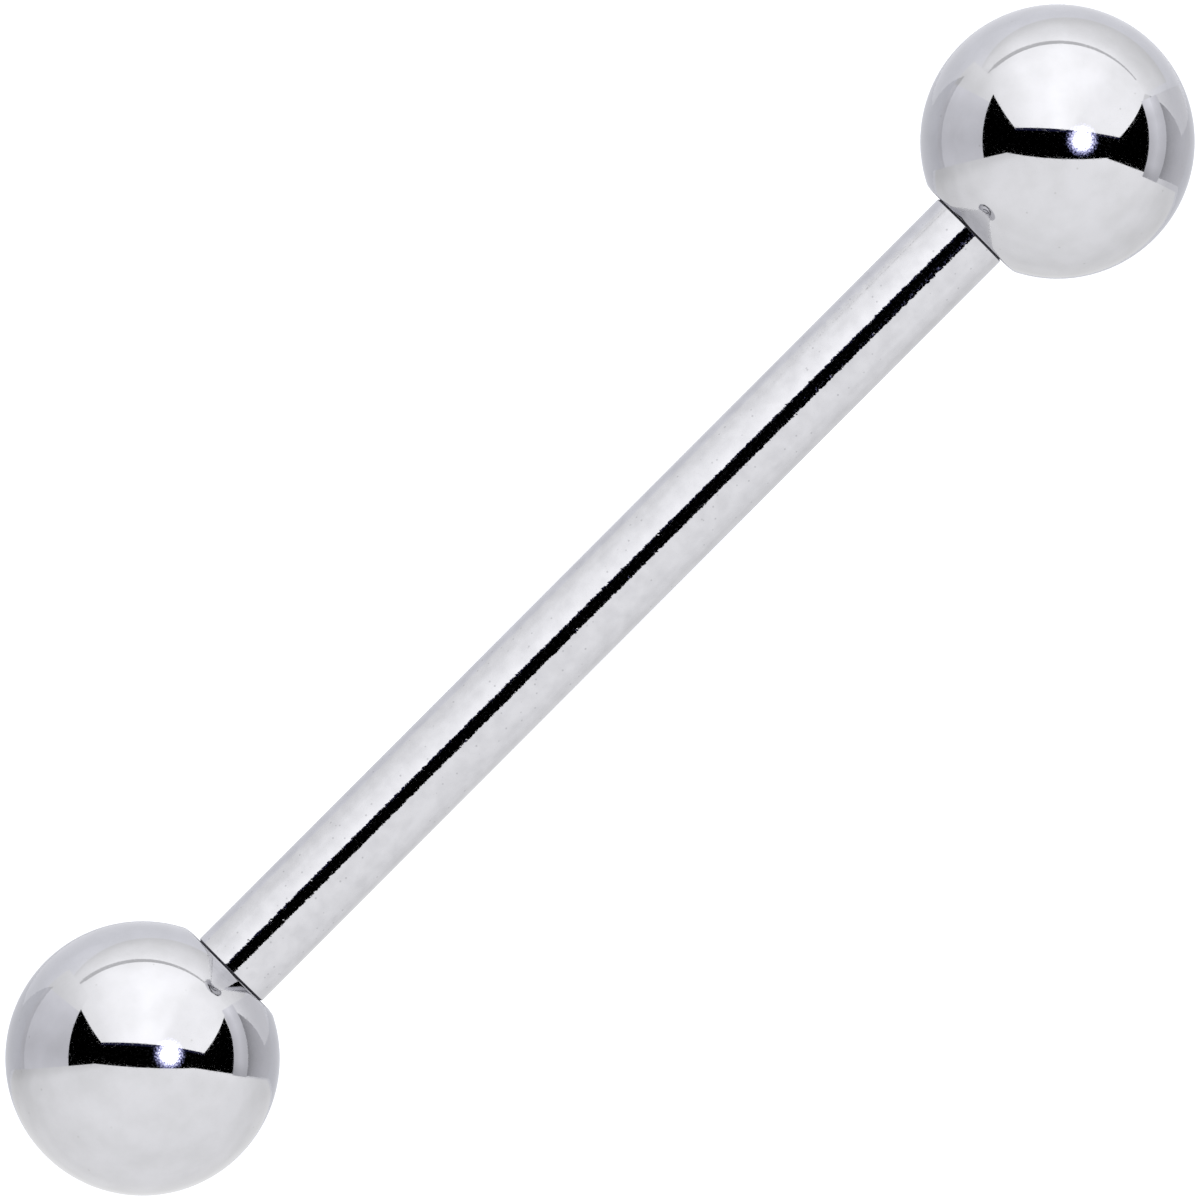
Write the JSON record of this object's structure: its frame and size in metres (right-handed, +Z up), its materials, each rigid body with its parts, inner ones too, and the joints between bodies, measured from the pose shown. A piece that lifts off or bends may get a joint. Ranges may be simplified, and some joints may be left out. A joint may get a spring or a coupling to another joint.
{
  "type": "tongue barbell",
  "caption": "Straight piercing barbell: a plain polished bar with threaded posts and a round ball screwed on at each end.",
  "frame": {"origin": "on the surface that the two balls rest on, straight below the middle of the bar", "axes": "+X along the bar towards the top ball, +Z up from the surface"},
  "size_m": [0.0286, 0.005, 0.005],
  "materials": {
    "bar_steel": "polished",
    "ball_steel": "polished"
  },
  "bodies": {
    "bar": {"bar": "bar_steel"},
    "top_ball": {"top_ball": "ball_steel"},
    "bottom_ball": {"bottom_ball": "ball_steel"}
  },
  "joints": [
    {"name": "top_ball_unscrew", "type": "slide", "parent": "bar", "child": "top_ball", "axis": [1, 0, 0], "range_m": [0, 0.015]},
    {"name": "bottom_ball_unscrew", "type": "slide", "parent": "bar", "child": "bottom_ball", "axis": [-1, 0, 0], "range_m": [0, 0.015]}
  ]
}
